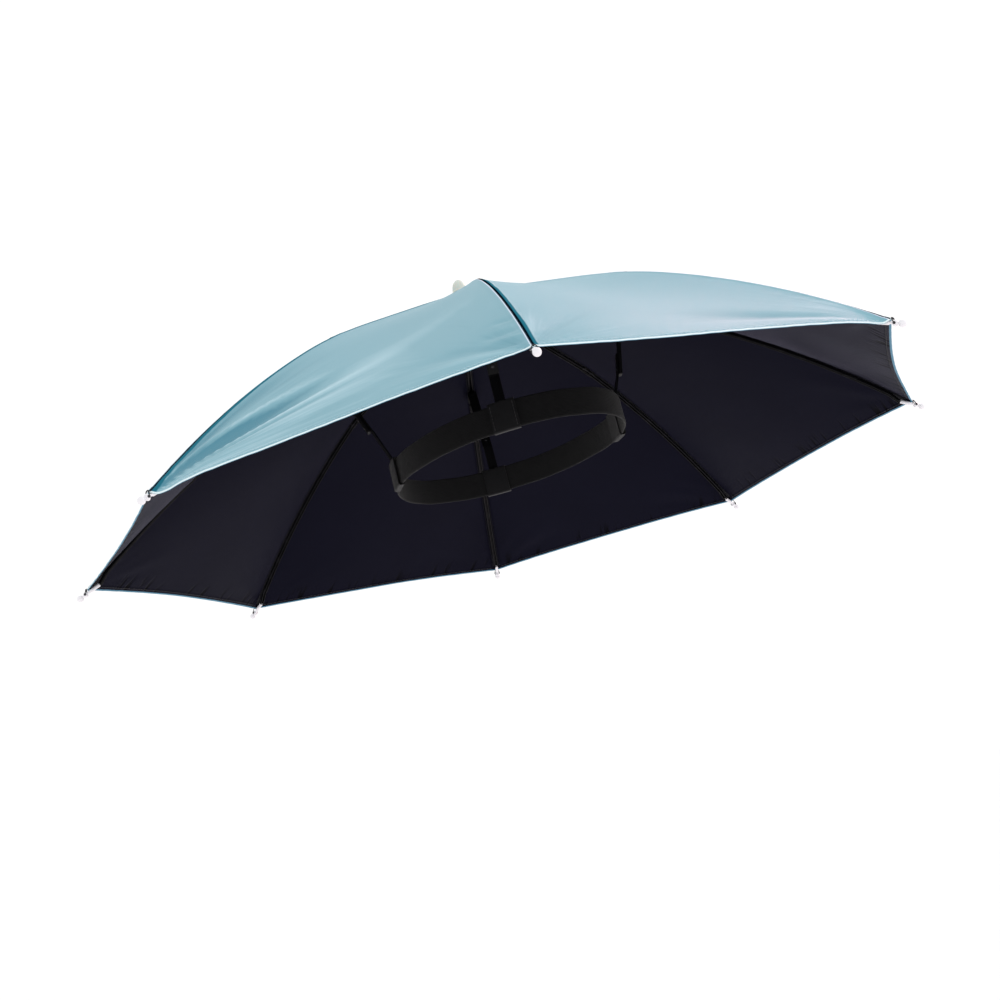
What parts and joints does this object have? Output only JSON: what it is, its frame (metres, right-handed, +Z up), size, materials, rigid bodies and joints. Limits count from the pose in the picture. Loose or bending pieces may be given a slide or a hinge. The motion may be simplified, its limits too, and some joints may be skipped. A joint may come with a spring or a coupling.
{
  "type": "umbrella hat",
  "caption": "Small open umbrella worn on the head: cloth gores on thin ribs with ball tips, a domed finial, and legs down to an elastic oval headband.",
  "frame": {"origin": "on the canopy's axis at the middle of the headband's height, where the head sits in the band", "axes": "+Z up along the canopy's axis through the finial, -Y towards the front rib, +X to the right seen from the front"},
  "size_m": [0.6534, 0.6534, 0.1861],
  "materials": {
    "canopy_cloth": "thin woven polyester, pale blue outside and near black inside, satin",
    "rib_steel": "black lacquered fluted steel",
    "tip_plastic": "slightly milky white plastic",
    "finial_plastic": "off-white moulded plastic",
    "leg_plastic": "glossy black plastic",
    "hub_plastic": "black moulded plastic",
    "band_elastic": "ribbed woven black elastic",
    "loop_tape": "black woven tape with stitched edges"
  },
  "bodies": {
    "root": {"band_loop_back": "loop_tape", "band_loop_front": "loop_tape", "band_loop_left": "loop_tape", "band_loop_right": "loop_tape", "crown_hub": "hub_plastic", "finial": "finial_plastic", "gore_1": "canopy_cloth", "gore_2": "canopy_cloth", "gore_3": "canopy_cloth", "gore_4": "canopy_cloth", "gore_5": "canopy_cloth", "gore_6": "canopy_cloth", "gore_7": "canopy_cloth", "gore_8": "canopy_cloth", "headband": "band_elastic", "leg_arm_back": "leg_plastic", "leg_arm_front": "leg_plastic", "leg_arm_left": "leg_plastic", "leg_arm_right": "leg_plastic", "leg_strip_back": "leg_plastic", "leg_strip_front": "leg_plastic", "leg_strip_left": "leg_plastic", "leg_strip_right": "leg_plastic", "rib_inner_1": "rib_steel", "rib_inner_2": "rib_steel", "rib_inner_3": "rib_steel", "rib_inner_4": "rib_steel", "rib_inner_5": "rib_steel", "rib_inner_6": "rib_steel", "rib_inner_7": "rib_steel", "rib_inner_8": "rib_steel", "rib_outer_1": "rib_steel", "rib_outer_2": "rib_steel", "rib_outer_3": "rib_steel", "rib_outer_4": "rib_steel", "rib_outer_5": "rib_steel", "rib_outer_6": "rib_steel", "rib_outer_7": "rib_steel", "rib_outer_8": "rib_steel", "tip_1": "tip_plastic", "tip_2": "tip_plastic", "tip_3": "tip_plastic", "tip_4": "tip_plastic", "tip_5": "tip_plastic", "tip_6": "tip_plastic", "tip_7": "tip_plastic", "tip_8": "tip_plastic"}
  },
  "joints": []
}
